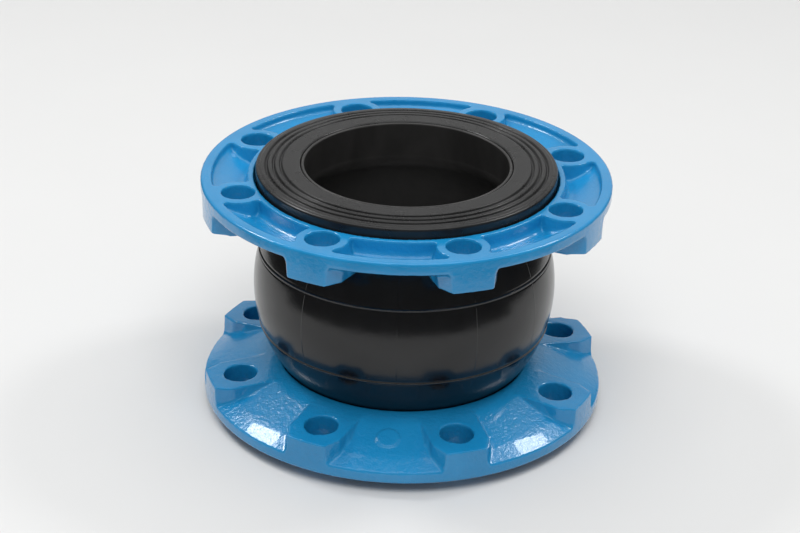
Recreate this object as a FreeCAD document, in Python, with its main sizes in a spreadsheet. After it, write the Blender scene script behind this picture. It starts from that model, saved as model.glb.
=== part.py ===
"""Single-sphere rubber expansion joint, DN150, with two floating ductile-iron flanges.

Row frame: millimetres, +Z along the pipe, origin at the centre of the lower sealing face.
The joint is the same above and below its middle plane, so every piece of rubber, cord and
wire is drawn from that plane up: the wall layers are then mirrored, and the end pieces and
flanges are made once for each end.
"""

import FreeCAD, Part
import math
import os
import Sketcher

Vector = FreeCAD.Vector

# alias, value in mm (degrees or a count where the note says so), note
SIZES = [
    ("half_length", 90.0, "middle plane to a sealing face"),
    ("face_proud", 8.0, "sealing face stands out of the flange's mating face"),
    ("belly_radius", 106.5, "largest radius of the sphere"),
    ("sphere_radius", 98.5, "radius of the sphere's outline"),
    ("layer_gap", 0.25, "skim rubber between two layers"),
    ("cover_thick", 3.3, "outer cover"),
    ("ply_thick", 0.8, "one ply of tyre cord"),
    ("tube_thick", 2.75, "inner tube"),
    ("flash_height", 27.7, "mould parting line above the middle plane"),
    ("flash_proud", 0.6, "parting line's ridge"),
    ("face_radius", 104.6, "outside of the rubber end"),
    ("face_corner", 1.8, "rounded edge of the rubber end"),
    ("face_drop", 1.2, "outer edge lies lower than the flat land"),
    ("land_inner", 74.8, "flat land's inner radius"),
    ("land_outer", 86.2, "flat land's outer radius"),
    ("ridge_groove", 87.2, "first groove's middle radius"),
    ("ridge_pitch", 5.0, "from one groove to the next"),
    ("groove_width", 1.9, "groove at the surface"),
    ("groove_depth", 1.2, "groove"),
    ("rim_joint", 80.0, "cover meets the face ring, above the middle plane"),
    ("rim_thick", 3.2, "cover round the rubber end's edge"),
    ("bore_lip", 71.0, "bore radius at the end"),
    ("lip_thick", 2.3, "tube's end lip"),
    ("lip_low", 0.7, "tube's end lip lies under the flat land"),
    ("bead_radius", 93.5, "bead ring's centre line"),
    ("bead_height", 81.0, "bead ring above the middle plane"),
    ("wire_pitch", 2.15, "bead wires, centre to centre"),
    ("wire_thick", 2.1, "one bead wire"),
    ("bundle_radius", 3.25, "bead bundle's outer radius"),
    ("flange_radius", 142.5, "outside of the flange"),
    ("circle_radius", 120.0, "bolt circle"),
    ("bolt_count", 8.0, "count of bolt holes"),
    ("hole_radius", 11.5, "bolt hole for M20"),
    ("recess_radius", 106.0, "opening for the rubber end"),
    ("recess_depth", 12.5, "shoulder under the mating face"),
    ("nose_radius", 6.4, "rounded inner edge that the neck bears on"),
    ("nose_gap", 0.4, "nose to rubber"),
    ("hub_radius", 100.0, "flat hub round the neck"),
    ("ring_inner", 110.0, "inner ring's outer radius at the mating face"),
    ("ring_outer", 135.0, "outer ring's inner radius at the mating face"),
    ("wall_draft", 1.0, "pocket walls lean by this much to their foot"),
    ("floor_deep", 12.6, "pocket floor at the inner ring"),
    ("floor_shallow", 4.4, "pocket floor at the outer ring"),
    ("rim_deep", 8.7, "rim's back edge"),
    ("rim_round", 1.4, "rounding of the rim's back edge"),
    ("rim_edge", 1.2, "rounding of the rim's mating edge"),
    ("web_radius", 131.0, "back cone grows steeper from there to the rim"),
    ("web_deep", 14.0, "back cone at that radius"),
    ("web_round", 40.0, "rounding between the two slopes of the back cone"),
    ("hub_round", 30.0, "hub runs into the back cone"),
    ("floor_round", 4.5, "pocket floor runs into the inner ring"),
    ("floor_edge", 2.0, "pocket floor runs into the outer ring"),
    ("boss_radius", 17.7, "boss round a bolt hole, mating side"),
    ("boss_blend", 2.5, "boss runs into the rings"),
    ("front_draft", 13.0, "flared foot of a boss in the pockets, degrees"),
    ("boss_draft", 6.0, "sides of a boss at the back, degrees"),
    ("foot_draft", 25.0, "flared foot of a boss at the back, degrees"),
    ("foot_drop", 1.0, "a flared foot starts that far below a boss's top"),
    ("back_half", 19.9, "half width of a boss's back at the bolt hole"),
    ("back_half_rim", 13.7, "half width of a boss's back at the rim"),
    ("foot_half_rim", 9.9, "half width of a boss's flared foot at the rim"),
    ("shoulder_radius", 130.5, "a boss's side turns in towards the rim there"),
    ("shoulder_round", 7.0, "rounding of that shoulder"),
    ("back_deep", 25.6, "back of the hub"),
    ("seat_deep", 25.3, "back of a boss at the hub"),
    ("seat_rim_deep", 22.4, "back of a boss at the rim"),
    ("mark_radius", 7.6, "plain raised casting disc"),
    ("mark_place", 116.0, "casting disc's centre"),
    ("mark_proud", 0.9, "casting disc"),
    ("blank_bore", 79.0, "bore of the flange's blank, well inside the finished bore"),
    ("hub_overlap", 1.5, "a boss's back starts that far inside the hub"),
    ("boss_root", 0.2, "a boss reaches that far under the pocket floor"),
    ("rim_spare", 2.0, "a boss's back is drawn that far past the rim"),
    ("trim_width", 15.0, "spare metal that is turned off the rim"),
    ("cut_clear", 3.0, "a cut starts and ends that far outside the metal"),
]

doc = FreeCAD.newDocument("expansion_joint")
sheet = doc.addObject("Spreadsheet::Sheet", "sizes")
for row, (alias, value, note) in enumerate(SIZES, start=1):
    sheet.set(f"A{row}", note)
    sheet.set(f"B{row}", str(value))
    sheet.setAlias(f"B{row}", alias)
doc.recompute()


def size(alias):
    """A driving dimension's number."""
    return float(getattr(sheet, alias))


def number(formula):
    """What a formula over the sheet is worth now."""
    return float(sheet.evalExpression(formula))


# ---------------------------------------------------------------- formulas over the sheet

S = "sizes."
SPHERE = (f"({S}belly_radius - {S}sphere_radius)", "0")
NOSE_Z = f"({S}half_length - {S}face_proud - {S}recess_depth - {S}nose_radius)"
NECK_RADIUS = f"({S}nose_radius + {S}nose_gap)"
NECK_ANGLE = f"asin({NOSE_Z} / ({S}sphere_radius + {NECK_RADIUS}))"
NOSE_R = f"({SPHERE[0]} + ({S}sphere_radius + {NECK_RADIUS}) * cos({NECK_ANGLE}))"
NOSE = (NOSE_R, NOSE_Z)
BEAD = (f"{S}bead_radius", f"{S}bead_height")
PLY_PITCH = f"({S}ply_thick + {S}layer_gap)"


def at(centre, radius, angle):
    """The point on a circle at an angle, as a pair of formulas."""
    return f"{centre[0]} + ({radius}) * cos({angle})", f"{centre[1]} + ({radius}) * sin({angle})"


def ply_depth(ply):
    """How deep a ply's outer face lies under the wall's outside; ply 1 is the innermost."""
    return f"({S}cover_thick + {S}layer_gap + {4 - ply} * {PLY_PITCH})"


TUBE_DEPTH = ply_depth(0)
WALL = f"({TUBE_DEPTH} + {S}tube_thick)"


# ---------------------------------------------------------------- sketches


def line_to(point):
    return {"to": point}


def arc_to(point, centre, radius, turn):
    """turn is 1 where the outline bends to the left along the arc, and -1 to the right."""
    return {"to": point, "centre": centre, "radius": radius, "turn": turn}


def base_plane(body, role):
    return next(f for f in body.Origin.OriginFeatures if f.Role == role)


def new_sketch(body, name, role, offset=None):
    sketch = body.newObject("Sketcher::SketchObject", name)
    sketch.AttachmentSupport = (base_plane(body, role), [""])
    sketch.MapMode = "FlatFace"
    if offset is not None:
        sketch.AttachmentOffset = offset
    return sketch


def pin_point(sketch, geometry, end, formulas):
    """Ties one end of a line or arc to two formulas."""
    for kind, axis, formula in (("DistanceX", -2, formulas[0]), ("DistanceY", -1, formulas[1])):
        value = number(formula)
        if abs(value) < 1e-9:
            sketch.addConstraint(Sketcher.Constraint("PointOnObject", geometry, end, axis))
            continue
        index = sketch.addConstraint(Sketcher.Constraint(kind, -1, 1, geometry, end, value))
        sketch.setExpression(f"Constraints[{index}]", formula)


def draw_outline(sketch, steps):
    """A closed outline. Each step leads from the step before it, and the last one to the first."""
    ends = []
    before = steps[-1]["to"]
    for step in steps:
        start = Vector(number(before[0]), number(before[1]), 0)
        stop = Vector(number(step["to"][0]), number(step["to"][1]), 0)
        if "centre" in step:
            middle = Vector(number(step["centre"][0]), number(step["centre"][1]), 0)
            first, last = (start, stop) if step["turn"] > 0 else (stop, start)
            angles = [math.atan2(p.y - middle.y, p.x - middle.x) for p in (first, last)]
            if angles[1] < angles[0]:
                angles[1] += 2 * math.pi
            circle = Part.Circle(middle, Vector(0, 0, 1), number(step["radius"]))
            geometry = sketch.addGeometry(Part.ArcOfCircle(circle, *angles), False)
            ends.append((geometry, 1, 2) if step["turn"] > 0 else (geometry, 2, 1))
        else:
            geometry = sketch.addGeometry(Part.LineSegment(start, stop), False)
            ends.append((geometry, 1, 2))
        before = step["to"]
    for i, step in enumerate(steps):
        geometry, _, last = ends[i]
        follower, first, _ = ends[(i + 1) % len(steps)]
        sketch.addConstraint(Sketcher.Constraint("Coincident", geometry, last, follower, first))
        pin_point(sketch, geometry, last, step["to"])
        if "centre" in step:
            radius = Sketcher.Constraint("Radius", geometry, number(step["radius"]))
            index = sketch.addConstraint(radius)
            sketch.setExpression(f"Constraints[{index}]", step["radius"])


def round_corner(corner, before, after, radius):
    """Two steps round a corner that bends to the left. The two angles lead away from the corner,
    back along the way in and on along the way out."""
    half = f"(({before} - {after}) / 2)"
    reach = f"{radius} / tan({half})"
    centre = at(corner, f"{radius} / sin({half})", f"({before} + {after}) / 2")
    return [
        line_to(at(corner, reach, before)),
        arc_to(at(corner, reach, after), centre, radius, 1),
    ]


def draw_circle(sketch, centre, radius):
    middle = Vector(number(centre[0]), number(centre[1]), 0)
    circle = Part.Circle(middle, Vector(0, 0, 1), number(radius))
    geometry = sketch.addGeometry(circle, False)
    pin_point(sketch, geometry, 3, centre)
    index = sketch.addConstraint(Sketcher.Constraint("Radius", geometry, number(radius)))
    sketch.setExpression(f"Constraints[{index}]", radius)


def new_body(label):
    body = doc.addObject("PartDesign::Body", label)
    body.Label = label
    return body


def revolve(body, name, steps, kind="PartDesign::Revolution"):
    """Turns an outline in the XZ plane a full turn about Z, as a solid or as a groove."""
    sketch = new_sketch(body, name + "_outline", "XZ_Plane")
    draw_outline(sketch, steps)
    feature = body.newObject(kind, name)
    feature.Profile = sketch
    feature.ReferenceAxis = (sketch, ["V_Axis"])
    feature.Angle = 360.0
    doc.recompute()
    return feature


def mirror_down(body, feature):
    """Adds the lower half of a piece whose upper half stands on the middle plane."""
    mirrored = body.newObject("PartDesign::Mirrored", feature.Name + "_mirrored")
    mirrored.Originals = [feature]
    mirrored.MirrorPlane = (base_plane(body, "XY_Plane"), [""])
    mirrored.Refine = True
    body.Tip = mirrored
    doc.recompute()


def place_wall(body):
    """Wall layers are drawn round the middle plane."""
    body.setExpression("Placement.Base.z", f"{S}half_length")


def place_end(piece, end):
    """End pieces are drawn for the upper end, and turned over for the lower one."""
    if end == "lower":
        piece.Placement = FreeCAD.Placement(Vector(), FreeCAD.Rotation(Vector(1, 0, 0), 180))
    piece.setExpression("Placement.Base.z", f"{S}half_length")


# ---------------------------------------------------------------- rubber wall


def sphere_arc(depth):
    """The wall's outline at a depth, from the middle plane up to the neck."""
    radius = f"({S}sphere_radius - {depth})"
    return arc_to(at(SPHERE, radius, NECK_ANGLE), SPHERE, radius, 1)


def sphere_back(depth):
    """The same outline from the neck down to the middle plane."""
    radius = f"({S}sphere_radius - {depth})"
    return arc_to(at(SPHERE, radius, "0 deg"), SPHERE, radius, -1)


def neck_arc(depth, angle):
    """From the sphere round the flange's nose, to an angle about the nose's centre."""
    radius = f"({NECK_RADIUS} + {depth})"
    return arc_to(at(NOSE, radius, angle), NOSE, radius, -1)


def neck_back(depth):
    radius = f"({NECK_RADIUS} + {depth})"
    return arc_to(at(NOSE, radius, f"{NECK_ANGLE} + 180 deg"), NOSE, radius, 1)


def outer_cover():
    """Weather-proof cover, from rim to rim, with the mould's two parting lines."""
    body = new_body("outer_cover")
    under = f"({NOSE_Z} + {NECK_RADIUS})"
    inside = f"({under} + {S}cover_thick)"
    rim_in = f"({S}face_radius - {S}rim_thick)"
    corner = (f"{S}face_radius - {S}face_corner", f"{under} + {S}face_corner")
    flash_angle = f"asin({S}flash_height / {S}sphere_radius)"
    steps = [
        line_to(at(SPHERE, f"{S}sphere_radius", "0 deg")),
        sphere_arc("0"),
        neck_arc("0", "90 deg"),
        line_to((corner[0], under)),
        arc_to((f"{S}face_radius", corner[1]), corner, f"{S}face_corner", 1),
        line_to((f"{S}face_radius", f"{S}rim_joint")),
        line_to((rim_in, f"{S}rim_joint")),
        line_to((rim_in, inside)),
        line_to((NOSE_R, inside)),
        neck_back(f"{S}cover_thick"),
        sphere_back(f"{S}cover_thick"),
    ]
    half = revolve(body, "cover_half", steps)
    mirror_down(body, half)
    for side, sign in (("upper", 1), ("lower", -1)):
        ridge = body.newObject("PartDesign::AdditiveTorus", f"{side}_parting_line")
        ridge.setExpression("Radius1", at(SPHERE, f"{S}sphere_radius", flash_angle)[0])
        ridge.setExpression("Radius2", f"{S}flash_proud")
        ridge.setExpression("AttachmentOffset.Base.z", f"{sign} * {S}flash_height")
        ridge.AttachmentSupport = (base_plane(body, "XY_Plane"), [""])
        ridge.MapMode = "FlatFace"
        doc.recompute()
    place_wall(body)
    return body


def outer_ply(ply):
    """Plies 3 and 4 run outside the bead ring and end under it."""
    body = new_body(f"cord_ply_{ply}")
    near = ply_depth(ply)
    far = f"({near} + {S}ply_thick)"
    end = f"({S}face_radius - {S}rim_thick - {6 - ply})"
    steps = [
        line_to(at(SPHERE, f"{S}sphere_radius - {near}", "0 deg")),
        sphere_arc(near),
        neck_arc(near, "90 deg"),
        line_to((end, f"{NOSE_Z} + {NECK_RADIUS} + {near}")),
        line_to((end, f"{NOSE_Z} + {NECK_RADIUS} + {far}")),
        line_to((NOSE_R, f"{NOSE_Z} + {NECK_RADIUS} + {far}")),
        neck_back(far),
        sphere_back(far),
    ]
    half = revolve(body, f"ply_{ply}_half", steps)
    mirror_down(body, half)
    place_wall(body)
    return body


BEAD_LIFT = f"({S}bead_height - {NOSE_Z})"
BEAD_SHIFT = f"({S}bead_radius - {NOSE_R})"
BEAD_AWAY = f"sqrt({BEAD_LIFT} * {BEAD_LIFT} + {BEAD_SHIFT} * {BEAD_SHIFT})"


def wrap_radius(ply):
    """Near face of a ply that is turned round the bead ring; ply 2 lies on the ring."""
    return f"({S}bundle_radius + {S}layer_gap + {2 - ply} * {PLY_PITCH})"


# The neck's arc and the bead's arc share one tangent, at the same angle for every layer.
STEP_IN = f"({NECK_RADIUS} + {ply_depth(2)} - {wrap_radius(2)})"
TANGENT = f"(acos({BEAD_SHIFT} / {BEAD_AWAY}) + acos({STEP_IN} / {BEAD_AWAY}))"


def inner_ply(ply):
    """Plies 1 and 2 run inside the bead ring and are turned out round it."""
    body = new_body(f"cord_ply_{ply}")
    near = ply_depth(ply)
    far = f"({near} + {S}ply_thick)"
    wrap_near = wrap_radius(ply)
    wrap_far = f"({wrap_near} + {S}ply_thick)"
    turn_up = "-60 deg"
    steps = [
        line_to(at(SPHERE, f"{S}sphere_radius - {near}", "0 deg")),
        sphere_arc(near),
        neck_arc(near, TANGENT),
        line_to(at(BEAD, wrap_near, TANGENT)),
        arc_to(at(BEAD, wrap_near, turn_up), BEAD, wrap_near, -1),
        line_to(at(BEAD, wrap_far, turn_up)),
        arc_to(at(BEAD, wrap_far, TANGENT), BEAD, wrap_far, 1),
        line_to(at(NOSE, f"{NECK_RADIUS} + {far}", TANGENT)),
        neck_back(far),
        sphere_back(far),
    ]
    half = revolve(body, f"ply_{ply}_half", steps)
    mirror_down(body, half)
    place_wall(body)
    return body


TUBE_WRAP = f"({S}bundle_radius + {S}layer_gap + 2 * {PLY_PITCH})"
TUBE_TOP = f"({S}bead_height + {TUBE_WRAP} * sin({TANGENT}))"


def inner_tube():
    """Seamless liner of the bore; its ends thicken over the plies and end in a lip at each face."""
    body = new_body("inner_tube")
    lip_top = f"({S}half_length - {S}lip_low)"
    lip_out = f"({S}bore_lip + {S}lip_thick)"
    lip_round = f"({S}lip_thick / 2)"
    lip_centre = (f"({S}bore_lip + {lip_round})", f"({lip_top} - {lip_round})")
    steps = [
        line_to(at(SPHERE, f"{S}sphere_radius - {TUBE_DEPTH}", "0 deg")),
        sphere_arc(TUBE_DEPTH),
        neck_arc(TUBE_DEPTH, TANGENT),
        line_to(at(BEAD, TUBE_WRAP, TANGENT)),
        line_to((lip_out, TUBE_TOP)),
        line_to((lip_out, lip_centre[1])),
        arc_to((lip_centre[0], lip_top), lip_centre, lip_round, 1),
        arc_to((f"{S}bore_lip", lip_centre[1]), lip_centre, lip_round, 1),
        line_to(at(NOSE, f"{NECK_RADIUS} + {WALL}", "180 deg")),
        neck_back(WALL),
        sphere_back(WALL),
    ]
    half = revolve(body, "tube_half", steps)
    mirror_down(body, half)
    place_wall(body)
    return body


# ---------------------------------------------------------------- rubber ends


def sealing_face(end):
    """Ring of solid rubber that seals against the pipe's flange, with three grooves."""
    body = new_body(f"{end}_sealing_face")
    gap = f"{S}layer_gap"
    inner = f"({S}bore_lip + {S}lip_thick + 2 * {gap})"
    bottom = f"({TUBE_TOP} + {gap})"
    wrap = f"({TUBE_WRAP} + {gap})"
    rim_in = f"({S}face_radius - {S}rim_thick)"
    rim_low = f"({S}rim_joint + {gap})"
    drop = f"({S}half_length - {S}face_drop)"
    corner = (f"({S}face_radius - {S}face_corner)", f"({drop} - {S}face_corner)")
    meet = f"asin({bottom} / {wrap} - {S}bead_height / {wrap})"
    steps = [
        line_to((inner, bottom)),
        line_to((f"{S}bead_radius - {wrap} * cos({meet})", bottom)),
        arc_to((f"{S}bead_radius", f"{S}bead_height + {wrap}"), BEAD, wrap, -1),
        line_to((rim_in, f"{S}bead_height + {wrap}")),
        line_to((rim_in, rim_low)),
        line_to((f"{S}face_radius", rim_low)),
        line_to((f"{S}face_radius", corner[1])),
        arc_to((corner[0], drop), corner, f"{S}face_corner", 1),
        line_to((f"{S}land_outer", f"{S}half_length")),
        line_to((f"{S}land_inner", f"{S}half_length")),
        line_to((inner, f"{S}half_length - {S}land_inner + {inner}")),
    ]
    revolve(body, "face_ring", steps)
    half_width = f"{S}groove_width / 2"
    above = f"{S}half_length + 1"
    floor = f"{S}half_length - {S}groove_depth - {S}face_drop / 2"
    for i in range(3):
        middle = f"{S}ridge_groove + {i} * {S}ridge_pitch"
        groove = [
            line_to((f"{middle} - {half_width}", above)),
            line_to((f"{middle} - {half_width} / 2", floor)),
            line_to((f"{middle} + {half_width} / 2", floor)),
            line_to((f"{middle} + {half_width}", above)),
        ]
        revolve(body, f"sealing_groove_{i + 1}", groove, "PartDesign::Groove")
    place_end(body, end)
    return body


def bead_filler(end):
    """Rubber strip that fills the corner outside the bead ring."""
    body = new_body(f"{end}_bead_filler")
    gap = f"{S}layer_gap"
    wrap = f"({TUBE_WRAP} + {gap})"
    top = f"({S}bead_height + {TUBE_WRAP} - 2 * {gap})"
    bottom = f"({NOSE_Z} + {NECK_RADIUS} + {ply_depth(2)})"
    outside = f"({S}face_radius - {S}rim_thick - 2 * {gap})"
    high = f"asin(({top} - {S}bead_height) / {wrap})"
    low = f"asin(({bottom} - {S}bead_height) / {wrap})"
    steps = [
        line_to(at(BEAD, wrap, high)),
        arc_to(at(BEAD, wrap, low), BEAD, wrap, -1),
        line_to((outside, bottom)),
        line_to((outside, top)),
    ]
    revolve(body, "filler_strip", steps)
    place_end(body, end)
    return body


def bead_wire(end):
    """Seven turns of hard steel wire, six of them packed round one."""
    wires = []
    places = [(i, j) for i in range(-1, 2) for j in range(-1, 2) if abs(i + j) <= 1]
    for i, j in places:
        wire = doc.addObject("Part::Torus", f"{end}_wire")
        wire.setExpression("Radius1", f"{S}bead_radius + {i + j / 2} * {S}wire_pitch")
        wire.setExpression("Radius2", f"{S}wire_thick / 2")
        rise = f"{j} * {math.sqrt(3) / 2:.6f} * {S}wire_pitch"
        wire.setExpression("Placement.Base.z", f"{S}bead_height + {rise}")
        wires.append(wire)
    bundle = doc.addObject("Part::Compound", f"{end}_bead_wire")
    bundle.Label = f"{end}_bead_wire"
    bundle.Links = wires
    place_end(bundle, end)
    return bundle


# ---------------------------------------------------------------- flanges
# A flange is drawn with its mating face at z = 0 and its body below, for the upper end.


def turned(angle, height=0.0):
    """Places a sketch in the XY plane so that its X axis runs through a bolt hole."""
    return FreeCAD.Placement(Vector(0, 0, height), FreeCAD.Rotation(Vector(0, 0, 1), angle))


def around(body, feature):
    """Repeats a feature at every bolt hole."""
    pattern = body.newObject("PartDesign::PolarPattern", feature.Name + "_all")
    pattern.Originals = [feature]
    pattern.Axis = (base_plane(body, "Z_Axis"), [""])
    pattern.Angle = 360.0
    pattern.setExpression("Occurrences", f"{S}bolt_count")
    body.Tip = pattern
    doc.recompute()
    return pattern


def mirrored_outline(upper):
    """Closes an outline about the sketch's X axis. It gets the steps of the half with y above 0."""
    lower = []
    for i in range(len(upper) - 1, -1, -1):
        step = upper[i]
        point = (step["to"][0], f"-({step['to'][1]})")
        after = upper[i + 1] if i + 1 < len(upper) else {}
        if "centre" in after:
            centre = (after["centre"][0], f"-({after['centre'][1]})")
            lower.append(arc_to(point, centre, after["radius"], after["turn"]))
        else:
            lower.append(line_to(point))
    return upper + lower


def crossing(first_radius, second_radius):
    """Where a circle round the flange's axis meets a circle round a bolt hole."""
    far = f"{S}circle_radius"
    x = (
        f"(({first_radius} * {first_radius} - {second_radius} * {second_radius}"
        f" + {far} * {far}) / (2 * {far}))"
    )
    return x, f"sqrt({first_radius} * {first_radius} - {x} * {x})"


def toward(start, goal, share):
    """The point at a share of the way from one point to another."""
    return tuple(f"({a} + ({b} - {a}) * {share})" for a, b in zip(start, goal))


def front_boss_outline():
    """A round boss that runs into the inner and outer rings with small hollow corners."""
    hole = (f"{S}circle_radius", "0")
    blend = f"{S}boss_blend"
    reach = f"({S}boss_radius + {blend})"
    inner_circle = f"({S}ring_inner + {blend})"
    outer_circle = f"({S}ring_outer - {blend})"
    inner = crossing(inner_circle, reach)
    outer = crossing(outer_circle, reach)
    axis = ("0", "0")
    on_boss = f"({S}boss_radius / {reach})"
    buried = "2"
    steps = [
        line_to((f"{S}ring_outer + {buried}", f"{outer[1]} - {buried} / 2")),
        line_to(toward(axis, outer, f"({S}ring_outer / {outer_circle})")),
        arc_to(toward(hole, outer, on_boss), outer, blend, -1),
        arc_to(toward(hole, inner, on_boss), hole, f"{S}boss_radius", 1),
        arc_to(toward(axis, inner, f"({S}ring_inner / {inner_circle})"), inner, blend, -1),
        line_to((f"{S}recess_radius - {buried}", inner[1])),
    ]
    return mirrored_outline(steps)


def back_boss_outline():
    """Parallel sides from the hub to a rounded shoulder, from which they turn in to the rim."""
    half = f"{S}back_half"
    slope = f"(({half} - {S}back_half_rim) / ({S}flange_radius - {S}shoulder_radius))"
    turn = f"atan({slope})"
    bend = f"{S}shoulder_round"
    centre = (f"{S}shoulder_radius - {bend} * tan({turn} / 2)", f"{half} - {bend}")
    steps = [
        line_to((f"{S}flange_radius + {S}rim_spare", f"{S}back_half_rim - {S}rim_spare * {slope}")),
        line_to(at(centre, bend, f"90 deg - {turn}")),
        arc_to(at(centre, bend, "90 deg"), centre, bend, 1),
        line_to((f"{S}hub_radius - {S}hub_overlap", half)),
    ]
    return mirrored_outline(steps)


def back_foot_outline():
    """As wide as the boss from the hub to the bolt circle, and well inside it at the rim."""
    steps = [
        line_to((f"{S}flange_radius", f"{S}foot_half_rim")),
        line_to((f"{S}circle_radius", f"{S}back_half")),
        line_to((f"{S}hub_radius - {S}hub_overlap", f"{S}back_half")),
    ]
    return mirrored_outline(steps)


def back_boss_part(body, name, outline, drop, draft):
    """A pad on the plane of the bosses' backs, which rises a little from the hub to the rim."""
    half_pitch = 180.0 / size("bolt_count")
    slope = (size("seat_deep") - size("seat_rim_deep")) / (size("flange_radius") - size("hub_radius"))
    lean = FreeCAD.Rotation(Vector(0, 1, 0), -math.degrees(math.atan(slope)))
    height = drop - size("seat_deep") - size("hub_radius") * slope
    place = turned(half_pitch).multiply(FreeCAD.Placement(Vector(0, 0, height), lean))
    sketch = new_sketch(body, name + "_outline", "XY_Plane", place)
    draw_outline(sketch, outline)
    pad = body.newObject("PartDesign::Pad", name)
    pad.Profile = sketch
    pad.setExpression("Length", f"{S}seat_deep - {S}floor_deep + {drop}")
    pad.setExpression("TaperAngle", draft)
    doc.recompute()
    around(body, pad)


def flange(end):
    """One-piece floating flange of ductile iron, before its bore and holes are cut."""
    body = new_body(f"{end}_flange")
    half_pitch = 180.0 / size("bolt_count")
    hub = (f"{S}hub_radius", f"-{S}back_deep")
    cone = f"atan(({S}back_deep - {S}web_deep) / ({S}web_radius - {S}hub_radius))"
    bend = (f"{S}web_radius", f"-{S}web_deep")
    steep = (
        f"atan(({S}web_deep - {S}rim_deep) / ({S}flange_radius - {S}rim_round - {S}web_radius))"
    )
    section = [
        line_to((f"{S}blank_bore", "0")),
        line_to((f"{S}blank_bore", f"-{S}back_deep")),
        *round_corner(hub, "180 deg", cone, f"{S}hub_round"),
        *round_corner(bend, f"({cone} + 180 deg)", steep, f"{S}web_round"),
        line_to((f"{S}flange_radius - {S}rim_round", f"-{S}rim_deep")),
        arc_to(
            (f"{S}flange_radius", f"-{S}rim_deep + {S}rim_round"),
            (f"{S}flange_radius - {S}rim_round", f"-{S}rim_deep + {S}rim_round"),
            f"{S}rim_round",
            1,
        ),
        line_to((f"{S}flange_radius", f"-{S}rim_edge")),
        arc_to(
            (f"{S}flange_radius - {S}rim_edge", "0"),
            (f"{S}flange_radius - {S}rim_edge", f"-{S}rim_edge"),
            f"{S}rim_edge",
            1,
        ),
    ]
    revolve(body, "rings_and_web", section)

    back_boss_part(body, "back_boss", back_boss_outline(), 0.0, f"{S}boss_draft")
    drop = size("foot_drop")
    back_boss_part(body, "back_foot", back_foot_outline(), drop, f"{S}foot_draft")

    draft = f"{S}wall_draft"
    inner_foot = (f"({S}ring_inner + {draft})", f"(-{S}floor_deep)")
    outer_foot = (f"({S}ring_outer - {draft} / 2)", f"(-{S}floor_shallow)")
    fall = f"({S}floor_deep - {S}floor_shallow)"
    floor = f"atan({fall} / ({outer_foot[0]} - {inner_foot[0]}))"
    inner_wall = f"(90 deg + atan({draft} / {S}floor_deep))"
    outer_wall = f"(90 deg - atan({draft} / 2 / {S}floor_shallow))"
    channel = [
        line_to((f"{S}ring_outer", "0")),
        line_to((f"{S}ring_outer", f"{S}cut_clear")),
        line_to((f"{S}ring_inner", f"{S}cut_clear")),
        line_to((f"{S}ring_inner", "0")),
        *round_corner(inner_foot, inner_wall, floor, f"{S}floor_round"),
        *round_corner(outer_foot, f"({floor} + 180 deg)", outer_wall, f"{S}floor_edge"),
    ]
    revolve(body, "cored_channel", channel, "PartDesign::Groove")

    sketch = new_sketch(body, "front_boss_outline", "XY_Plane", turned(half_pitch))
    draw_outline(sketch, front_boss_outline())
    boss = body.newObject("PartDesign::Pad", "front_boss")
    boss.Profile = sketch
    boss.Reversed = True
    boss.setExpression("Length", f"{S}floor_deep + {S}boss_root")
    doc.recompute()
    around(body, boss)

    sketch = new_sketch(body, "front_foot_outline", "XY_Plane", turned(half_pitch, -drop))
    draw_circle(sketch, (f"{S}circle_radius", "0"), f"{S}boss_radius")
    foot = body.newObject("PartDesign::Pad", "front_foot")
    foot.Profile = sketch
    foot.Reversed = True
    foot.setExpression("Length", f"{S}floor_deep - {S}foot_drop + 2 * {S}boss_root")
    foot.setExpression("TaperAngle", f"{S}front_draft")
    doc.recompute()
    around(body, foot)

    rise = (size("back_deep") - size("web_deep")) / (size("web_radius") - size("hub_radius"))
    level = size("back_deep") - (size("mark_place") - size("hub_radius")) * rise
    outward = FreeCAD.Rotation(Vector(0, 1, 0), -math.degrees(math.atan(rise)))
    between_holes = turned(4 * half_pitch)
    place = between_holes.multiply(
        FreeCAD.Placement(Vector(size("mark_place"), 0, -level), outward)
    )
    sketch = new_sketch(body, "casting_mark_outline", "XY_Plane", place)
    draw_circle(sketch, ("0", "0"), f"{S}mark_radius")
    mark = body.newObject("PartDesign::Pad", "casting_mark")
    mark.Profile = sketch
    mark.Midplane = True
    mark.setExpression("Length", f"2 * {S}mark_proud")
    doc.recompute()
    return body


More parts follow.
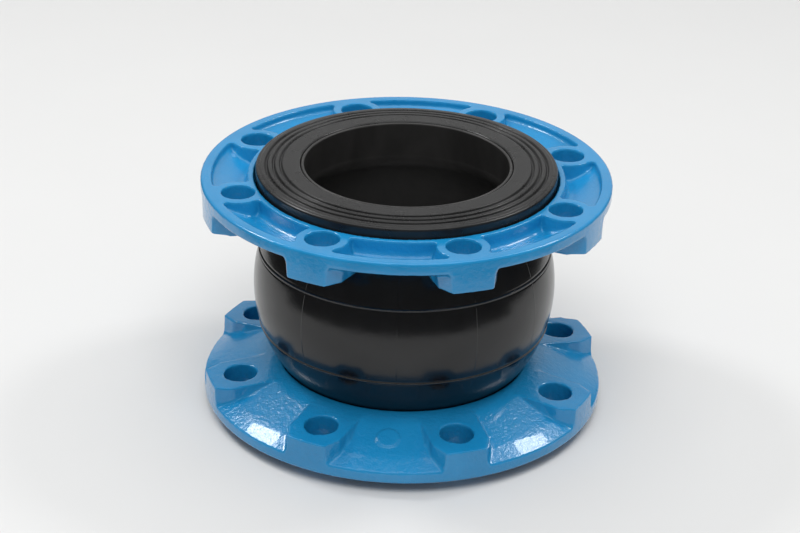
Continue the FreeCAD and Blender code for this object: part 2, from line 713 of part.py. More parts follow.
def trim_flange(body):
    """Cuts the bore, the rim and the bolt holes, after the bosses are on."""
    nose = (NOSE_R, f"-{S}recess_depth - {S}nose_radius")
    ball = (SPHERE[0], f"({S}face_proud - {S}half_length)")
    clear = f"({S}sphere_radius + {S}nose_gap)"
    beyond = f"({S}back_deep + {S}cut_clear)"
    leaves = f"asin(({S}half_length - {S}face_proud - {beyond}) / {clear})"
    bore = [
        line_to((f"{S}recess_radius", f"{S}cut_clear")),
        line_to((f"{S}recess_radius", f"-{S}recess_depth")),
        line_to((NOSE_R, f"-{S}recess_depth")),
        arc_to(at(nose, f"{S}nose_radius", f"{NECK_ANGLE} + 180 deg"), nose, f"{S}nose_radius", 1),
        arc_to(at(ball, clear, leaves), ball, clear, -1),
        line_to((f"{S}bore_lip", f"-{beyond}")),
        line_to((f"{S}bore_lip", f"{S}cut_clear")),
    ]
    revolve(body, "bore_and_recess", bore, "PartDesign::Groove")
    outside = [
        line_to((f"{S}flange_radius", f"{S}cut_clear")),
        line_to((f"{S}flange_radius + {S}trim_width", f"{S}cut_clear")),
        line_to((f"{S}flange_radius + {S}trim_width", f"-{beyond}")),
        line_to((f"{S}flange_radius", f"-{beyond}")),
    ]
    revolve(body, "rim_trim", outside, "PartDesign::Groove")

    half_pitch = 180.0 / size("bolt_count")
    place = turned(half_pitch, size("cut_clear"))
    sketch = new_sketch(body, "bolt_hole_outline", "XY_Plane", place)
    draw_circle(sketch, (f"{S}circle_radius", "0"), f"{S}hole_radius")
    hole = body.newObject("PartDesign::Pocket", "bolt_hole")
    hole.Profile = sketch
    hole.setExpression("Length", f"{beyond} + {S}cut_clear")
    doc.recompute()
    around(body, hole)


def place_flange(body, end):
    """Mating faces lie face_proud inside the sealing faces."""
    if end == "lower":
        body.Placement = FreeCAD.Placement(Vector(), FreeCAD.Rotation(Vector(1, 0, 0), 180))
        body.setExpression("Placement.Base.z", f"{S}face_proud")
    else:
        body.setExpression("Placement.Base.z", f"2 * {S}half_length - {S}face_proud")


# ---------------------------------------------------------------- the assembly

subparts = [outer_cover(), inner_tube()]
subparts += [inner_ply(1), inner_ply(2), outer_ply(3), outer_ply(4)]
for which_end in ("lower", "upper"):
    subparts += [sealing_face(which_end), bead_filler(which_end), bead_wire(which_end)]
    casting = flange(which_end)
    trim_flange(casting)
    place_flange(casting, which_end)
    subparts.append(casting)
doc.recompute()

failed = [o.Name for o in doc.Objects if "Invalid" in o.State or "Error" in o.State]
if failed:
    raise RuntimeError(f"these objects failed: {failed}")
for piece in subparts:
    if piece.Shape.isNull() or not piece.Shape.isValid():
        raise RuntimeError(f"{piece.Label} has no valid shape")

os.makedirs("parts", exist_ok=True)
for piece in subparts:
    piece.Shape.exportStep(f"parts/{piece.Label}.step")
    box = piece.Shape.BoundBox
    print(
        f"{piece.Label:22s} solids {len(piece.Shape.Solids):2d}  volume {piece.Shape.Volume:10.1f}"
        f"  z {box.ZMin:7.2f} to {box.ZMax:7.2f}  across {box.XLength:6.2f}"
    )
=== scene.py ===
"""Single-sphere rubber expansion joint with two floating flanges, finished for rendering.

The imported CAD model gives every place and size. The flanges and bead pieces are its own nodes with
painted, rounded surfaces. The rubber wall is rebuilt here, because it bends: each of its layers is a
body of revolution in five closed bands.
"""

import functools
import math

import bpy
from mathutils import Matrix, Vector


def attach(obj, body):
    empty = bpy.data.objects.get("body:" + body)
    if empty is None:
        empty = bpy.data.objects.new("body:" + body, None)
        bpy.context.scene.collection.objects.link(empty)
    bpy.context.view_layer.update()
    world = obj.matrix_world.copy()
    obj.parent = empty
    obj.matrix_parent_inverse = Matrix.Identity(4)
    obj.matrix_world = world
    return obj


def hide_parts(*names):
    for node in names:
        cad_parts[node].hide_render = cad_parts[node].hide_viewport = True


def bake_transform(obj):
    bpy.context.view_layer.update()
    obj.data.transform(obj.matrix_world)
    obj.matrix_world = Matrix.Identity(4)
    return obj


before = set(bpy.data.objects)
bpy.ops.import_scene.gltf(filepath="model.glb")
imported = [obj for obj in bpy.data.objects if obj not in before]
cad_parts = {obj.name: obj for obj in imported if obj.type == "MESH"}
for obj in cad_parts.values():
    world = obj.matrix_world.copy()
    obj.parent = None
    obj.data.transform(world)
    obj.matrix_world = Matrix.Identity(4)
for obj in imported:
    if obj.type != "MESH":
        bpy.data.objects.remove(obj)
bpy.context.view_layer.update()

MM = 0.001

# ---------------------------------------------------------------- sizes, in mm, as in the CAD model

MIDDLE = 90.0  # height of the wall's middle plane, and of each end above it
SPHERE_SHIFT = 8.0  # centre of the sphere's outline, from the axis
SPHERE = 98.5  # radius of that outline
NOSE_Z = 63.1  # centre of the flange's rounded nose, above the middle plane
NECK = 6.8  # radius of the wall's outside round the nose
NECK_TURN = math.asin(NOSE_Z / (SPHERE + NECK))
NOSE_R = SPHERE_SHIFT + (SPHERE + NECK) * math.cos(NECK_TURN)
COVER = 3.3  # thickness of the outer cover
PLY = 0.8
SKIM = 0.25  # rubber between two plies
TUBE = 2.75  # thickness of the inner tube
PLY_PITCH = PLY + SKIM
BUNDLE = 3.25  # radius of the bead wire bundle
BEAD = (93.5, 81.0)  # its centre, from the axis and above the middle plane
FACE_R = 104.6
FACE_CORNER = 1.8
RIM_THICK = 3.2  # cover outside the sealing ring
RIM_JOINT = 80.0  # where the cover's rim meets the sealing ring
FACE_DROP = 1.2  # fall of the sealing face from its land to its edge
FACE_INNER_CORNER = 1.4
FACE_SEAT = 88.2  # foot of the sealing ring's corner beside the tube's lip
LAND_OUTER = 86.2
GROOVES = (87.2, 92.2, 97.2)
GROOVE_DEEP = 1.5
FAINT_STEP = 101.6
FAINT_STEP_DEEP = 0.35
FLASH_Z = 27.7  # parting lines, above and below the middle plane
FLASH_HIGH = 0.55
FLASH_CREST = 0.3  # half width of the trimmed crest
LIP_R = 71.0
LIP = 2.3
LIP_LOW = 0.3  # the tube's lip under the sealing face's land
LIP_CREASE = 0.35  # between the tube's lip and the sealing face
PLY_STAGGER = 6  # ply number at which the outer plies would reach the rim
BAND_CUT = 38.0
ROUND = 288  # segments round a seen layer
HIDDEN_ROUND = 96

# The bodies below and above each band, the heights it runs between, and the heights its bend does.
BANDS = [
    ("lower_end", "lower_neck", -MIDDLE, -BAND_CUT, -56.0, -BAND_CUT),
    ("lower_neck", "lower_shoulder", -BAND_CUT, -19.0, -BAND_CUT, -19.0),
    ("lower_shoulder", "upper_shoulder", -19.0, 19.0, -19.0, 19.0),
    ("upper_shoulder", "upper_neck", 19.0, BAND_CUT, 19.0, BAND_CUT),
    ("upper_neck", "upper_end", BAND_CUT, MIDDLE, BAND_CUT, 56.0),
]


def ply_depth(ply):
    """How deep a ply's outer face lies under the wall's outside."""
    return COVER + SKIM + (4 - ply) * PLY_PITCH


TUBE_DEPTH = ply_depth(0)
WALL = TUBE_DEPTH + TUBE


# ---------------------------------------------------------------- outlines


def arc(centre, radius, start, stop, step=1.0):
    """Points on a circle from one angle to another, about a step apart."""
    count = max(2, math.ceil(abs(stop - start) * radius / step))
    angles = [start + (stop - start) * i / count for i in range(count + 1)]
    return [(centre[0] + radius * math.cos(a), centre[1] + radius * math.sin(a)) for a in angles]


def fill_line(points, step=2.0):
    """Adds points between the corners of a broken line."""
    filled = [points[0]]
    for a, b in zip(points, points[1:]):
        count = max(1, math.ceil(math.dist(a, b) / step))
        for i in range(1, count + 1):
            filled.append((a[0] + (b[0] - a[0]) * i / count, a[1] + (b[1] - a[1]) * i / count))
    return filled


def flash(z):
    """The parting line's ridge: how far it stands out at a height above the middle plane."""
    away = abs(abs(z) - FLASH_Z)
    return FLASH_HIGH * math.exp(-((away / 0.42) ** 2)) - 0.12 * math.exp(-(((away - 1.3) / 0.6) ** 2))


def sphere_line(depth, low, high):
    """The wall's outline at a depth, from one height to another."""
    radius = SPHERE - depth
    centre = (SPHERE_SHIFT, 0.0)
    start, stop = math.asin(low / radius), math.asin(high / radius)
    if depth > 0:
        return arc(centre, radius, start, stop, 1.5)
    points = arc(centre, radius, start, stop, 0.22)
    return [
        (r + flash(z) * (r - SPHERE_SHIFT) / radius, z + flash(z) * z / radius) for r, z in points
    ]


def to_neck(depth, cut):
    """The sphere's outline at a depth, from a cut up to where the neck's arc takes over."""
    return sphere_line(depth, cut, (SPHERE - depth) * math.sin(NECK_TURN))


def neck_line(depth, stop):
    """Round the flange's nose, from the sphere to an angle about the nose's centre."""
    return arc((NOSE_R, NOSE_Z), NECK + depth, NECK_TURN + math.pi, stop, 0.4)


def wrap_radius(ply):
    """Inner radius of a turned-up ply round the bead."""
    return BUNDLE + SKIM + (2 - ply) * PLY_PITCH


def tangent():
    """Where the neck's arc and the bead's arc share a tangent."""
    across, lift = BEAD[0] - NOSE_R, BEAD[1] - NOSE_Z
    away = math.hypot(across, lift)
    step_in = NECK + ply_depth(2) - wrap_radius(2)
    return math.acos(across / away) + math.acos(step_in / away)


TANGENT = tangent()
TUBE_WRAP = BUNDLE + SKIM + 2 * PLY_PITCH
TUBE_TOP = BEAD[1] + TUBE_WRAP * math.sin(TANGENT)


def cover_end(cut):
    """Cover above a cut: out along the neck, under the rim, round its corner and back inside."""
    under = NOSE_Z + NECK
    inside = under + COVER
    corner = (FACE_R - FACE_CORNER, under + FACE_CORNER)
    rim_in = FACE_R - RIM_THICK
    turn = NECK_TURN + math.pi
    outside = to_neck(0.0, cut) + neck_line(0.0, math.pi / 2)[1:]
    outside += fill_line([outside[-1], (corner[0], under)])[1:]
    outside += arc(corner, FACE_CORNER, -math.pi / 2, 0.0, 0.3)[1:]
    outside += [(FACE_R, RIM_JOINT)]
    inside_line = [(rim_in, RIM_JOINT), (rim_in, inside), (NOSE_R, inside)]
    inside_line += arc((NOSE_R, NOSE_Z), NECK + COVER, math.pi / 2, turn, 0.6)[1:]
    inside_line += to_neck(COVER, cut)[::-1][1:]
    return outside, inside_line


def outer_ply_end(ply, cut):
    """Plies 3 and 4 end under the bead ring."""
    near, far = ply_depth(ply), ply_depth(ply) + PLY
    stop = FACE_R - RIM_THICK - (PLY_STAGGER - ply)
    outside = to_neck(near, cut) + neck_line(near, math.pi / 2)[1:]
    outside += [(stop, NOSE_Z + NECK + near)]
    inside = [(stop, NOSE_Z + NECK + far), (NOSE_R, NOSE_Z + NECK + far)]
    inside += neck_line(far, math.pi / 2)[::-1][1:]
    inside += to_neck(far, cut)[::-1][1:]
    return outside, inside


def inner_ply_end(ply, cut):
    """Plies 1 and 2 turn up round the bead ring."""
    near, far = ply_depth(ply), ply_depth(ply) + PLY
    close, wide = wrap_radius(ply), wrap_radius(ply) + PLY
    outside = to_neck(near, cut) + neck_line(near, TANGENT)[1:]
    outside += arc(BEAD, close, TANGENT, -math.pi / 3, 0.5)
    inside = arc(BEAD, wide, -math.pi / 3, TANGENT, 0.5)
    inside += neck_line(far, TANGENT)[::-1]
    inside += to_neck(far, cut)[::-1][1:]
    return outside, inside


def tube_end(cut):
    """The tube thickens over the turned-up plies and ends in a lip at the face."""
    half = LIP / 2
    centre = (LIP_R + half, MIDDLE - LIP_LOW - half)
    outside = to_neck(TUBE_DEPTH, cut) + neck_line(TUBE_DEPTH, TANGENT)[1:]
    outside += [(BEAD[0] + TUBE_WRAP * math.cos(TANGENT), TUBE_TOP), (LIP_R + LIP, TUBE_TOP)]
    inside = [(LIP_R + LIP, centre[1])] + arc(centre, half, 0.0, math.pi, 0.15)[1:]
    neck = neck_line(WALL, math.pi)[::-1]
    inside += fill_line([inside[-1], neck[0]], 1.0)[1:-1] + neck
    inside += to_neck(WALL, cut)[::-1][1:]
    return outside, inside


# ---------------------------------------------------------------- turned meshes


def way_normals(points, first=None, last=None):
    """A normal at each point of an open line, to the right of the way that it goes."""
    sides = []
    for a, b in zip(points, points[1:]):
        length = math.dist(a, b) or 1.0
        sides.append(((b[1] - a[1]) / length, (a[0] - b[0]) / length))
    found = []
    for i in range(len(points)):
        before = sides[i - 1] if i > 0 else sides[0]
        after = sides[i] if i < len(sides) else sides[-1]
        total = (before[0] + after[0], before[1] + after[1])
        size = math.hypot(*total) or 1.0
        found.append((total[0] / size, total[1] / size))
    if first:
        found[0] = first
    if last:
        found[-1] = last
    return found


def split_line(points, crease=math.radians(28)):
    """Cuts a line into runs wherever it turns sharply."""
    runs, now = [], [points[0]]
    for i in range(1, len(points)):
        now.append(points[i])
        if i + 1 < len(points):
            a, b, c = points[i - 1], points[i], points[i + 1]
            first = math.atan2(b[1] - a[1], b[0] - a[0])
            second = math.atan2(c[1] - b[1], c[0] - b[0])
            turn = (second - first + math.pi) % (2 * math.pi) - math.pi
            if abs(turn) > crease:
                runs.append(now)
                now = [b]
    runs.append(now)
    return runs


def radial(point, sign):
    """The sphere's own normal at a point of the wall's outline, so that bands meet without a line."""
    across, up = point[0] - SPHERE_SHIFT, point[1]
    size = math.hypot(across, up)
    return (sign * across / size, sign * up / size)


def turned(name, runs, segments):
    """A closed mesh of revolution. runs is a closed outline, as a list of (points, normals), in mm
    about the middle plane; each run starts where the one before it ends."""
    mesh = bpy.data.meshes.new(name)
    outline, faces, normals = [], [], []
    for points, _ in runs:
        outline += points[:-1]
    rows = len(outline)
    verts = []
    steps = [2 * math.pi * k / segments for k in range(segments)]
    circle = [(math.cos(a), math.sin(a)) for a in steps]
    for r, z in outline:
        verts += [(r * c * MM, r * s * MM, (z + MIDDLE) * MM) for c, s in circle]
    row = 0
    for points, sides in runs:
        for i in range(len(points) - 1):
            a, b = row % rows, (row + 1) % rows
            for k in range(segments):
                n = (k + 1) % segments
                corners = ((a, k, 0), (a, n, 0), (b, n, 1), (b, k, 1))
                faces.append([ring * segments + column for ring, column, _ in corners])
                for _, column, along in corners:
                    (out, up), (c, s) = sides[i + along], circle[column]
                    normals.append((out * c, out * s, up))
            row += 1
    mesh.from_pydata(verts, [], faces)
    mesh.update()
    mesh.polygons.foreach_set("use_smooth", [True] * len(mesh.polygons))
    mesh.normals_split_custom_set(normals)
    piece = bpy.data.objects.new(name, mesh)
    bpy.context.scene.collection.objects.link(piece)
    return piece


def band_runs(outside, inside, low_cut, high_cut):
    """Runs of a band whose outside goes up and whose inside comes down. low_cut and high_cut say
    whether the band is cut there, or ends in its own shape."""
    first = radial(outside[0], 1) if low_cut else None
    last = radial(outside[-1], 1) if high_cut else None
    runs = []
    pieces = split_line(outside)
    for i, points in enumerate(pieces):
        start = first if i == 0 else None
        stop = last if i == len(pieces) - 1 else None
        runs.append((points, way_normals(points, start, stop)))
    cap = [outside[-1], inside[0]]
    runs.append((cap, way_normals(cap)))
    pieces = split_line(inside)
    for i, points in enumerate(pieces):
        start = radial(inside[0], -1) if high_cut and i == 0 else None
        stop = radial(inside[-1], -1) if low_cut and i == len(pieces) - 1 else None
        runs.append((points, way_normals(points, start, stop)))
    cap = [inside[-1], outside[0]]
    runs.append((cap, way_normals(cap)))
    return runs


def turn_over(runs):
    """The same outline below the middle plane."""
    over = []
    for points, sides in reversed(runs):
        points = [(r, -z) for r, z in reversed(points)]
        over.append((points, [(out, -up) for out, up in reversed(sides)]))
    return over


def mark_crest(piece, material):
    """The crest of a parting line is trimmed flash, paler than the moulded skin round it."""
    piece.data.materials.append(material)
    for face in piece.data.polygons:
        x, y, z = face.center
        away = abs(abs(z / MM - MIDDLE) - FLASH_Z)
        if away < FLASH_CREST and math.hypot(x, y) / MM > SPHERE:
            face.material_index = 1


def wall_layer(node, depth, thick, end_shape, material, segments, crest=None):
    """One layer of the wall, as five closed bands."""
    for count, (low_body, high_body, low, high, start, stop) in enumerate(BANDS, start=1):
        if count in (1, 5):
            outside, inside = end_shape(BAND_CUT)
            runs = band_runs(outside, inside, True, False)
            if count == 1:
                runs = turn_over(runs)
        else:
            outside = sphere_line(depth, low, high)
            inside = sphere_line(depth + thick, low, high)[::-1]
            runs = band_runs(outside, inside, True, True)
        piece = turned(f"{node}_band_{count}", runs, segments)
        piece.data.materials.append(material)
        if crest:
            mark_crest(piece, crest)
        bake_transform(piece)
        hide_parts(node)


# ---------------------------------------------------------------- materials

MOULD_LINES = (-28.0, -58.0, -88.0, -126.0, 62.0, 148.0)  # azimuths, in degrees
MOULD_LINE_HALF = 0.0042  # radians


class Shader:
    """A material's node tree, with short calls for the nodes that the finishes share."""

    def __init__(self, name):
        self.material = bpy.data.materials.new(name)
        self.material.use_nodes = True
        self.tree = self.material.node_tree
        self.tree.nodes.clear()
        self.output = self.add("ShaderNodeOutputMaterial")
        self.skin = self.add("ShaderNodeBsdfPrincipled")
        self.link(self.skin.outputs["BSDF"], self.output.inputs["Surface"])
        self.place = self.add("ShaderNodeTexCoord").outputs["Object"]

    def add(self, kind):
        return self.tree.nodes.new(kind)

    def link(self, source, target):
        if isinstance(source, (int, float)):
            target.default_value = source
        else:
            self.tree.links.new(source, target)

    def math(self, operation, a, b=0.0, c=0.0):
        node = self.add("ShaderNodeMath")
        node.operation = operation
        for value, socket in zip((a, b, c), node.inputs):
            self.link(value, socket)
        return node.outputs[0]

    def noise(self, scale, detail=3.0, roughness=0.55, stretch=None, warp=0.0):
        """scale is in ripples per metre; stretch scales the three axes."""
        place = self.place
        if stretch:
            mapping = self.add("ShaderNodeMapping")
            mapping.inputs["Scale"].default_value = stretch
            self.link(place, mapping.inputs["Vector"])
            place = mapping.outputs[0]
        node = self.add("ShaderNodeTexNoise")
        node.inputs["Scale"].default_value = scale
        node.inputs["Detail"].default_value = detail
        node.inputs["Roughness"].default_value = roughness
        node.inputs["Distortion"].default_value = warp
        self.link(place, node.inputs["Vector"])
        return node.outputs["Fac"]

    def spread(self, value, low, high, new_low=0.0, new_high=1.0, smooth=False):
        """Maps one range to another, and clamps what lies outside it."""
        node = self.add("ShaderNodeMapRange")
        node.interpolation_type = "SMOOTHSTEP" if smooth else "LINEAR"
        for name, number in (
            ("From Min", low),
            ("From Max", high),
            ("To Min", new_low),
            ("To Max", new_high),
        ):
            node.inputs[name].default_value = number
        self.link(value, node.inputs["Value"])
        return node.outputs["Result"]

    def mix(self, share, first, second):
        """Colours may be given as three numbers."""
        node = self.add("ShaderNodeMix")
        node.data_type = "RGBA"
        self.link(share, node.inputs["Factor"])
        for value, name in ((first, "A"), (second, "B")):
            socket = [s for s in node.inputs if s.name == name and s.type == "RGBA"][0]
            if isinstance(value, tuple):
                socket.default_value = (*value, 1.0)
            else:
                self.link(value, socket)
        return [s for s in node.outputs if s.type == "RGBA"][0]

    def bump(self, height, distance, strength=1.0, under=None):
        node = self.add("ShaderNodeBump")
        node.inputs["Strength"].default_value = strength
        node.inputs["Distance"].default_value = distance
        self.link(height, node.inputs["Height"])
        if under is not None:
            self.link(under, node.inputs["Normal"])
        return node.outputs["Normal"]

    def split(self, vector):
        node = self.add("ShaderNodeSeparateXYZ")
        self.link(vector, node.inputs[0])
        return node.outputs

    def around(self):
        """Azimuth about the pipe's axis in radians, and distance from it in metres."""
        x, y, _ = self.split(self.place)
        squares = self.math("ADD", self.math("MULTIPLY", x, x), self.math("MULTIPLY", y, y))
        return self.math("ARCTAN2", y, x), self.math("SQRT", squares)

    def finish(self, **sockets):
        """Sets the surface shader's sockets, named with underscores, and returns the material."""
        for name, value in sockets.items():
            socket = self.skin.inputs[name.replace("_", " ")]
            if isinstance(value, tuple):
                socket.default_value = (*value, 1.0)
            else:
                self.link(value, socket)
        return self.material


def blue_enamel(name, smooth_height):
    """Thick wet-looking enamel over ductile iron: even on the machined face at smooth_height, and
    with sand grain and orange peel showing through on everything cast."""
    paint = Shader(name)
    _, _, z = paint.split(paint.place)
    away = paint.math("ABSOLUTE", paint.math("SUBTRACT", z, smooth_height * MM))
    cast = paint.spread(away, 0.0006, 0.0016, 0.0, 1.0, True)
    grain = paint.noise(850.0, 2.0, 0.5)
    peel = paint.noise(300.0, 2.0, 0.5, warp=0.3)
    sag = paint.noise(60.0, 2.0, 0.5)
    fine = paint.bump(grain, 0.00025, 0.6)
    amount = paint.math("MULTIPLY_ADD", cast, 0.75, 0.25)
    coarse = paint.bump(paint.math("MULTIPLY", peel, amount), 0.0007, 0.6, fine)
    normal = paint.bump(sag, 0.0008, 0.3, coarse)
    clouds = paint.noise(26.0, 3.0, 0.55, warp=0.4)
    shade = paint.spread(clouds, 0.35, 0.68)
    tone = paint.mix(shade, (0.009, 0.220, 0.475), (0.013, 0.250, 0.530))
    speck = paint.spread(paint.noise(900.0, 2.0, 0.5), 0.75, 0.80)
    tone = paint.mix(paint.math("MULTIPLY", speck, 0.3), tone, (0.006, 0.10, 0.24))
    rough = paint.spread(clouds, 0.3, 0.7, 0.15, 0.22)
    return paint.finish(
        Base_Color=tone,
        Roughness=rough,
        Normal=normal,
        IOR=1.48,
        Coat_Weight=0.5,
        Coat_Roughness=0.05,
    )


def seam(rubber, azimuth, turn):
    """1 along a vertical mould line, 0 beside it."""
    away = rubber.math("ABSOLUTE", rubber.math("SUBTRACT", azimuth, math.radians(turn)))
    return rubber.spread(away, 0.0, MOULD_LINE_HALF, 1.0, 0.0, True)


def cover_rubber():
    """Moulded black rubber with a satin skin, mould lines and faint haze."""
    rubber = Shader("cover_rubber")
    azimuth, _ = rubber.around()
    fine = rubber.noise(700.0, 3.0, 0.6)
    dents = rubber.noise(90.0, 2.0, 0.5)
    haze = rubber.noise(34.0, 4.0, 0.6, (1.0, 1.0, 0.45), 0.6)
    lines = None
    for turn in MOULD_LINES:
        line = seam(rubber, azimuth, turn)
        lines = line if lines is None else rubber.math("MAXIMUM", lines, line)
    fine, dents = rubber.math("MULTIPLY", fine, 0.12), rubber.math("MULTIPLY", dents, 0.5)
    ground = rubber.math("ADD", fine, dents)
    normal = rubber.bump(ground, 0.0005, 0.35)
    normal = rubber.bump(lines, 0.0002, 0.7, normal)
    shade = rubber.spread(haze, 0.35, 0.7)
    tone = rubber.mix(shade, (0.0055, 0.0056, 0.006), (0.0085, 0.0087, 0.0092))
    rough = rubber.spread(haze, 0.3, 0.7, 0.15, 0.23)
    return rubber.finish(Base_Color=tone, Roughness=rough, Normal=normal, IOR=1.5)


def crest_rubber():
    """Trimmed flash along the mould's parting lines."""
    rubber = Shader("crest_rubber")
    nibbles = rubber.noise(900.0, 3.0, 0.6)
    normal = rubber.bump(nibbles, 0.0003, 0.6)
    tone = rubber.mix(rubber.spread(nibbles, 0.35, 0.65), (0.020, 0.019, 0.018), (0.065, 0.058, 0.052))
    return rubber.finish(Base_Color=tone, Roughness=0.42, Normal=normal, IOR=1.5)


def face_rubber():
    """Sealing face: duller, with fine marks round the axis."""
    rubber = Shader("face_rubber")
    azimuth, far = rubber.around()
    fine = rubber.noise(900.0, 3.0, 0.6)
    haze = rubber.noise(40.0, 4.0, 0.6, warp=0.5)
    ring = rubber.add("ShaderNodeTexNoise")
    ring.noise_dimensions = "2D"
    ring.inputs["Scale"].default_value = 1.0
    ring.inputs["Detail"].default_value = 3.0
    join = rubber.add("ShaderNodeCombineXYZ")
    rubber.link(rubber.math("MULTIPLY", far, 1500.0), join.inputs[0])
    rubber.link(rubber.math("MULTIPLY", azimuth, 1.6), join.inputs[1])
    rubber.link(join.outputs[0], ring.inputs["Vector"])
    fine, rings = rubber.math("MULTIPLY", fine, 0.5), rubber.math("MULTIPLY", ring.outputs[0], 0.5)
    height = rubber.math("ADD", fine, rings)
    normal = rubber.bump(height, 0.0003, 0.5)
    tone = rubber.mix(rubber.spread(haze, 0.35, 0.7), (0.009, 0.009, 0.0093), (0.016, 0.016, 0.0163))
    rough = rubber.spread(haze, 0.3, 0.7, 0.24, 0.34)
    return rubber.finish(Base_Color=tone, Roughness=rough, Normal=normal, IOR=1.5)


def tube_rubber():
    """Bore: satin, with streaks of mould release along the pipe."""
    rubber = Shader("tube_rubber")
    fine = rubber.noise(700.0, 3.0, 0.6)
    streak = rubber.noise(55.0, 4.0, 0.6, (1.0, 1.0, 0.25), 0.8)
    normal = rubber.bump(fine, 0.0002, 0.25)
    # Painted light: the base tone is set well above the cover's black so the bore reads as lit inside.
    # The streaks across it are random tone.
    tone = rubber.mix(rubber.spread(streak, 0.4, 0.72), (0.027, 0.0265, 0.026), (0.038, 0.037, 0.036))
    rough = rubber.spread(streak, 0.3, 0.7, 0.38, 0.46)
    return rubber.finish(Base_Color=tone, Roughness=rough, Normal=normal, IOR=1.5)


def filler_rubber():
    """Hard, dull rubber."""
    rubber = Shader("filler_rubber")
    fine = rubber.noise(800.0, 3.0, 0.6)
    normal = rubber.bump(fine, 0.0002, 0.4)
    tone = rubber.mix(rubber.spread(fine, 0.3, 0.7), (0.010, 0.010, 0.010), (0.016, 0.016, 0.016))
    return rubber.finish(Base_Color=tone, Roughness=0.6, Normal=normal, IOR=1.5)


def tyre_cord():
    """Rubberised cord: parallel cords laid slantwise, under a thin rubber skim."""
    cord = Shader("tyre_cord")
    azimuth, _ = cord.around()
    _, _, z = cord.split(cord.place)
    round_share, rise_share = cord.math("MULTIPLY", azimuth, 62.0), cord.math("MULTIPLY", z, 900.0)
    slant = cord.math("ADD", round_share, rise_share)
    wave = cord.math("SINE", cord.math("MULTIPLY", slant, 6.0))
    weft = cord.noise(300.0, 2.0, 0.5)
    normal = cord.bump(wave, 0.0002, 0.8)
    tone = cord.mix(cord.spread(wave, -0.2, 1.0), (0.018, 0.015, 0.012), (0.11, 0.085, 0.055))
    rough = cord.spread(weft, 0.3, 0.7, 0.6, 0.75)
    return cord.finish(Base_Color=tone, Roughness=rough, Normal=normal, IOR=1.5)


def bead_steel():
    """Brass-washed hard-drawn wire."""
    steel = Shader("bead_steel")
    drawn = steel.noise(900.0, 2.0, 0.5, (0.15, 0.15, 1.0))
    normal = steel.bump(drawn, 0.0001, 0.3)
    tone = steel.mix(drawn, (0.50, 0.43, 0.32), (0.62, 0.56, 0.46))
    rough = steel.spread(drawn, 0.3, 0.7, 0.25, 0.4)
    return steel.finish(Base_Color=tone, Roughness=rough, Normal=normal, Metallic=1.0)


# ---------------------------------------------------------------- the rubber and cord wall

black = cover_rubber()
bore = tube_rubber()
cord = tyre_cord()
crest = crest_rubber()
wall_layer("outer_cover", 0.0, COVER, cover_end, black, ROUND, crest)
wall_layer("inner_tube", TUBE_DEPTH, TUBE, tube_end, bore, ROUND)
for ply, ply_end in ((1, inner_ply_end), (2, inner_ply_end), (3, outer_ply_end), (4, outer_ply_end)):
    end_shape = functools.partial(ply_end, ply)
    name = f"cord_ply_{ply}"
    wall_layer(name, ply_depth(ply), PLY, end_shape, cord, HIDDEN_ROUND)

# ---------------------------------------------------------------- sealing faces


def face_line():
    """The sealing face from the bore to the rim: a flat land, three soft grooves and a faint step."""
    inner = LIP_R + LIP + LIP_CREASE
    edge = FACE_INNER_CORNER
    points = [(inner, FACE_SEAT)]
    points += arc((inner + edge, MIDDLE - edge), edge, math.pi, math.pi / 2, 0.2)
    fall = FACE_DROP / (FACE_R - FACE_CORNER - LAND_OUTER)
    r = inner + edge + 0.2
    while r < FACE_R - FACE_CORNER:
        z = MIDDLE - max(0.0, r - LAND_OUTER) * fall
        for groove in GROOVES:
            z -= GROOVE_DEEP * math.exp(-(abs(r - groove) ** 2.8))
        z -= FAINT_STEP_DEEP / (1 + math.exp((FAINT_STEP - r) / 0.15))
        points.append((r, z))
        r += 0.16
    corner = (FACE_R - FACE_CORNER, points[-1][1] - FACE_CORNER)
    points += arc(corner, FACE_CORNER, math.pi / 2, 0.0, 0.25)
    points.append((FACE_R, RIM_JOINT + SKIM))
    return points


def sealing_ring():
    """The ring's closed outline, counterclockwise from its lower outer corner."""
    inner = LIP_R + LIP + LIP_CREASE
    bottom = TUBE_TOP + SKIM
    wrap = TUBE_WRAP + SKIM
    rim_in = FACE_R - RIM_THICK
    meet = math.asin((bottom - BEAD[1]) / wrap)
    outline = face_line()[::-1]
    outline += [(inner, bottom)]
    outline += arc(BEAD, wrap, math.pi - meet, math.pi / 2, 0.5)
    outline += [(rim_in, BEAD[1] + wrap), (rim_in, RIM_JOINT + SKIM), outline[0]]
    return [(points, way_normals(points)) for points in split_line(outline)]


face = face_rubber()
for end in ("lower", "upper"):
    runs = sealing_ring()
    if end == "lower":
        runs = turn_over(runs)
    ring = turned(f"{end}_sealing_ring", runs, ROUND)
    ring.data.materials.append(face)
    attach(ring, f"{end}_end")
    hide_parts(f"{end}_sealing_face")

# ---------------------------------------------------------------- carried-over CAD nodes

VOXEL = 0.8 * MM
EDGE_PASSES = 5
MATING_FACES = {"lower": 8.0, "upper": 172.0}


def paint_node(name, material):
    """Gives a CAD node its material and slot, and returns it."""
    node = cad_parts[name]
    node.data.materials.clear()
    node.data.materials.append(material)
    for face_of in node.data.polygons:
        face_of.use_smooth = True
    return node


steel = bead_steel()
filler = filler_rubber()
for end, mating_face in MATING_FACES.items():
    paint_node(f"{end}_bead_wire", steel)
    paint_node(f"{end}_bead_filler", filler)
    enamel = blue_enamel(f"{end}_blue_enamel", mating_face)
    flange = paint_node(f"{end}_flange", enamel)
    remesh = flange.modifiers.new("even_mesh", "REMESH")
    remesh.mode = "VOXEL"
    remesh.voxel_size = VOXEL
    remesh.use_smooth_shade = True
    rounding = flange.modifiers.new("cast_edges", "SMOOTH")
    rounding.factor = 0.5
    rounding.iterations = EDGE_PASSES

# ---------------------------------------------------------------- stage, light and camera


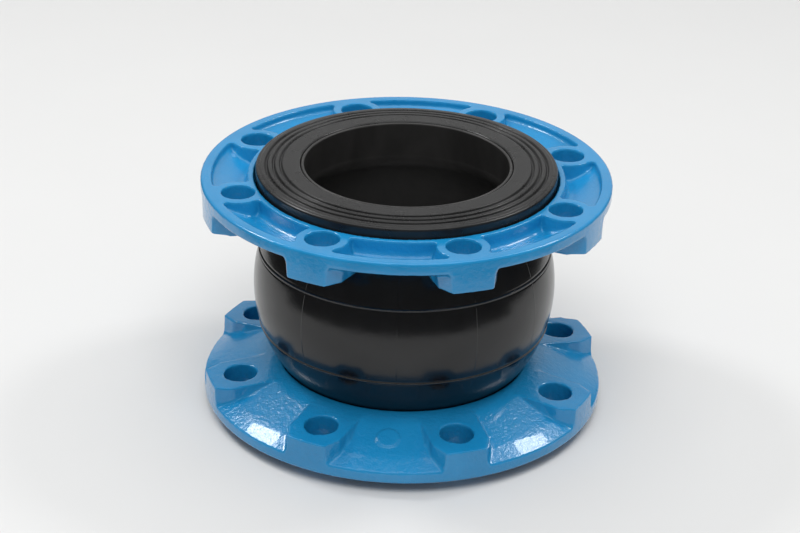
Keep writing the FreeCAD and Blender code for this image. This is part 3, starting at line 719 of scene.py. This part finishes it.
def sheet(name, verts, faces):
    """A smooth open sheet round the object, linked to the scene."""
    mesh = bpy.data.meshes.new(name)
    mesh.from_pydata(verts, [], faces)
    mesh.polygons.foreach_set("use_smooth", [True] * len(faces))
    piece = bpy.data.objects.new(name, mesh)
    bpy.context.scene.collection.objects.link(piece)
    return piece


def backdrop():
    """A pale floor that sweeps up into a wall behind the object."""
    bend, front, back, top, half_width, count = 1.2, -4.0, 2.6, 4.0, 5.0, 24
    line = [(front, 0.0), (back - bend, 0.0)]
    for i in range(1, count + 1):
        a = math.pi / 2 * i / count
        line.append((back - bend + bend * math.sin(a), bend - bend * math.cos(a)))
    line.append((back, top))
    verts, faces = [], []
    for y, z in line:
        verts += [(-half_width, y, z), (half_width, y, z)]
    for i in range(len(line) - 1):
        faces.append((2 * i, 2 * i + 1, 2 * i + 3, 2 * i + 2))
    sweep = sheet("backdrop", verts, faces)
    paper = Shader("paper")
    fine = paper.noise(6.0, 2.0, 0.5)
    tone = paper.mix(fine, (0.69, 0.69, 0.685), (0.71, 0.71, 0.705))
    sweep.data.materials.append(paper.finish(Base_Color=tone, Roughness=0.75))


def flag(name, start, stop, radius, height, grey=0.05):
    """A dark curved screen round the object, from one azimuth to another in degrees. Only glossy
    surfaces see it, as they would see the unlit room round a photographer's table."""
    count = 24
    verts = []
    for i in range(count + 1):
        turn = math.radians(start + (stop - start) * i / count)
        x, y = radius * math.cos(turn), radius * math.sin(turn)
        verts += [(x, y, MM), (x, y, height)]
    faces = [(2 * i, 2 * i + 2, 2 * i + 3, 2 * i + 1) for i in range(count)]
    screen = sheet(name, verts, faces)
    cloth = Shader(name + "_cloth")
    weave = cloth.noise(40.0, 2.0, 0.5)
    tone = cloth.mix(weave, (grey * 0.9,) * 3, (grey * 1.1,) * 3)
    screen.data.materials.append(cloth.finish(Base_Color=tone, Roughness=0.9))
    screen.visible_camera = False
    screen.visible_diffuse = False
    screen.visible_shadow = False
    screen.visible_transmission = False


def softbox(name, place, aim, width, height, power, glossy=True):
    """An area light; one that isn't glossy lights surfaces but is never mirrored in them."""
    light = bpy.data.lights.new(name, "AREA")
    light.shape = "RECTANGLE"
    light.size, light.size_y = width, height
    light.energy = power
    lamp = bpy.data.objects.new(name, light)
    bpy.context.scene.collection.objects.link(lamp)
    lamp.location = place
    lamp.rotation_euler = (Vector(aim) - Vector(place)).to_track_quat("-Z", "Y").to_euler()
    lamp.visible_glossy = glossy


def studio():
    """Even light from all over and above, a soft fill from the front, a small bright box high on
    each side, and a dark room round the object."""
    world = bpy.data.worlds.new("studio")
    bpy.context.scene.world = world
    world.use_nodes = True
    background = world.node_tree.nodes["Background"]
    background.inputs["Color"].default_value = (0.99, 0.995, 1.0, 1.0)
    background.inputs["Strength"].default_value = 0.43
    middle = (0, 0, 0.1)
    softbox("overhead", (0.0, 0.0, 2.3), middle, 2.2, 2.2, 15.5)
    softbox("front_fill", (0.05, -1.25, 2.3), middle, 1.6, 1.2, 30.0, glossy=False)
    softbox("left_key", (-1.30, 0.53, 1.66), middle, 0.40, 0.40, 11.0)
    softbox("right_fill", (1.19, 0.63, 1.71), middle, 0.40, 0.40, 9.0)
    flag("front_flag", 190.0, 350.0, 0.45, 0.9, 0.10)
    flag("left_flag", 130.0, 190.0, 0.75, 0.42)
    flag("right_flag", -10.0, 50.0, 0.75, 0.42)


def camera():
    """A long lens, looking down at the joint from a little to its right."""
    data = bpy.data.cameras.new("camera")
    data.sensor_width = 36.0
    data.lens = 97.26
    eye = bpy.data.objects.new("camera", data)
    bpy.context.scene.collection.objects.link(eye)
    azimuth, elevation, distance = math.radians(4.095), math.radians(23.9415), 1.49875
    away = Vector(
        (
            math.sin(azimuth) * math.cos(elevation),
            -math.cos(azimuth) * math.cos(elevation),
            math.sin(elevation),
        )
    )
    target = Vector((0, 0, 0.1717))
    turn = (
        Matrix.Rotation(azimuth, 4, "Z")
        @ Matrix.Rotation(math.radians(90.0 - 26.4086), 4, "X")
        @ Matrix.Rotation(math.radians(0.1187), 4, "Y")
        @ Matrix.Rotation(math.radians(1.3682), 4, "Z")
    )
    eye.matrix_world = Matrix.Translation(target + away * distance) @ turn
    bpy.context.scene.camera = eye


backdrop()
studio()
camera()

bpy.context.scene.view_settings.view_transform = "Standard"
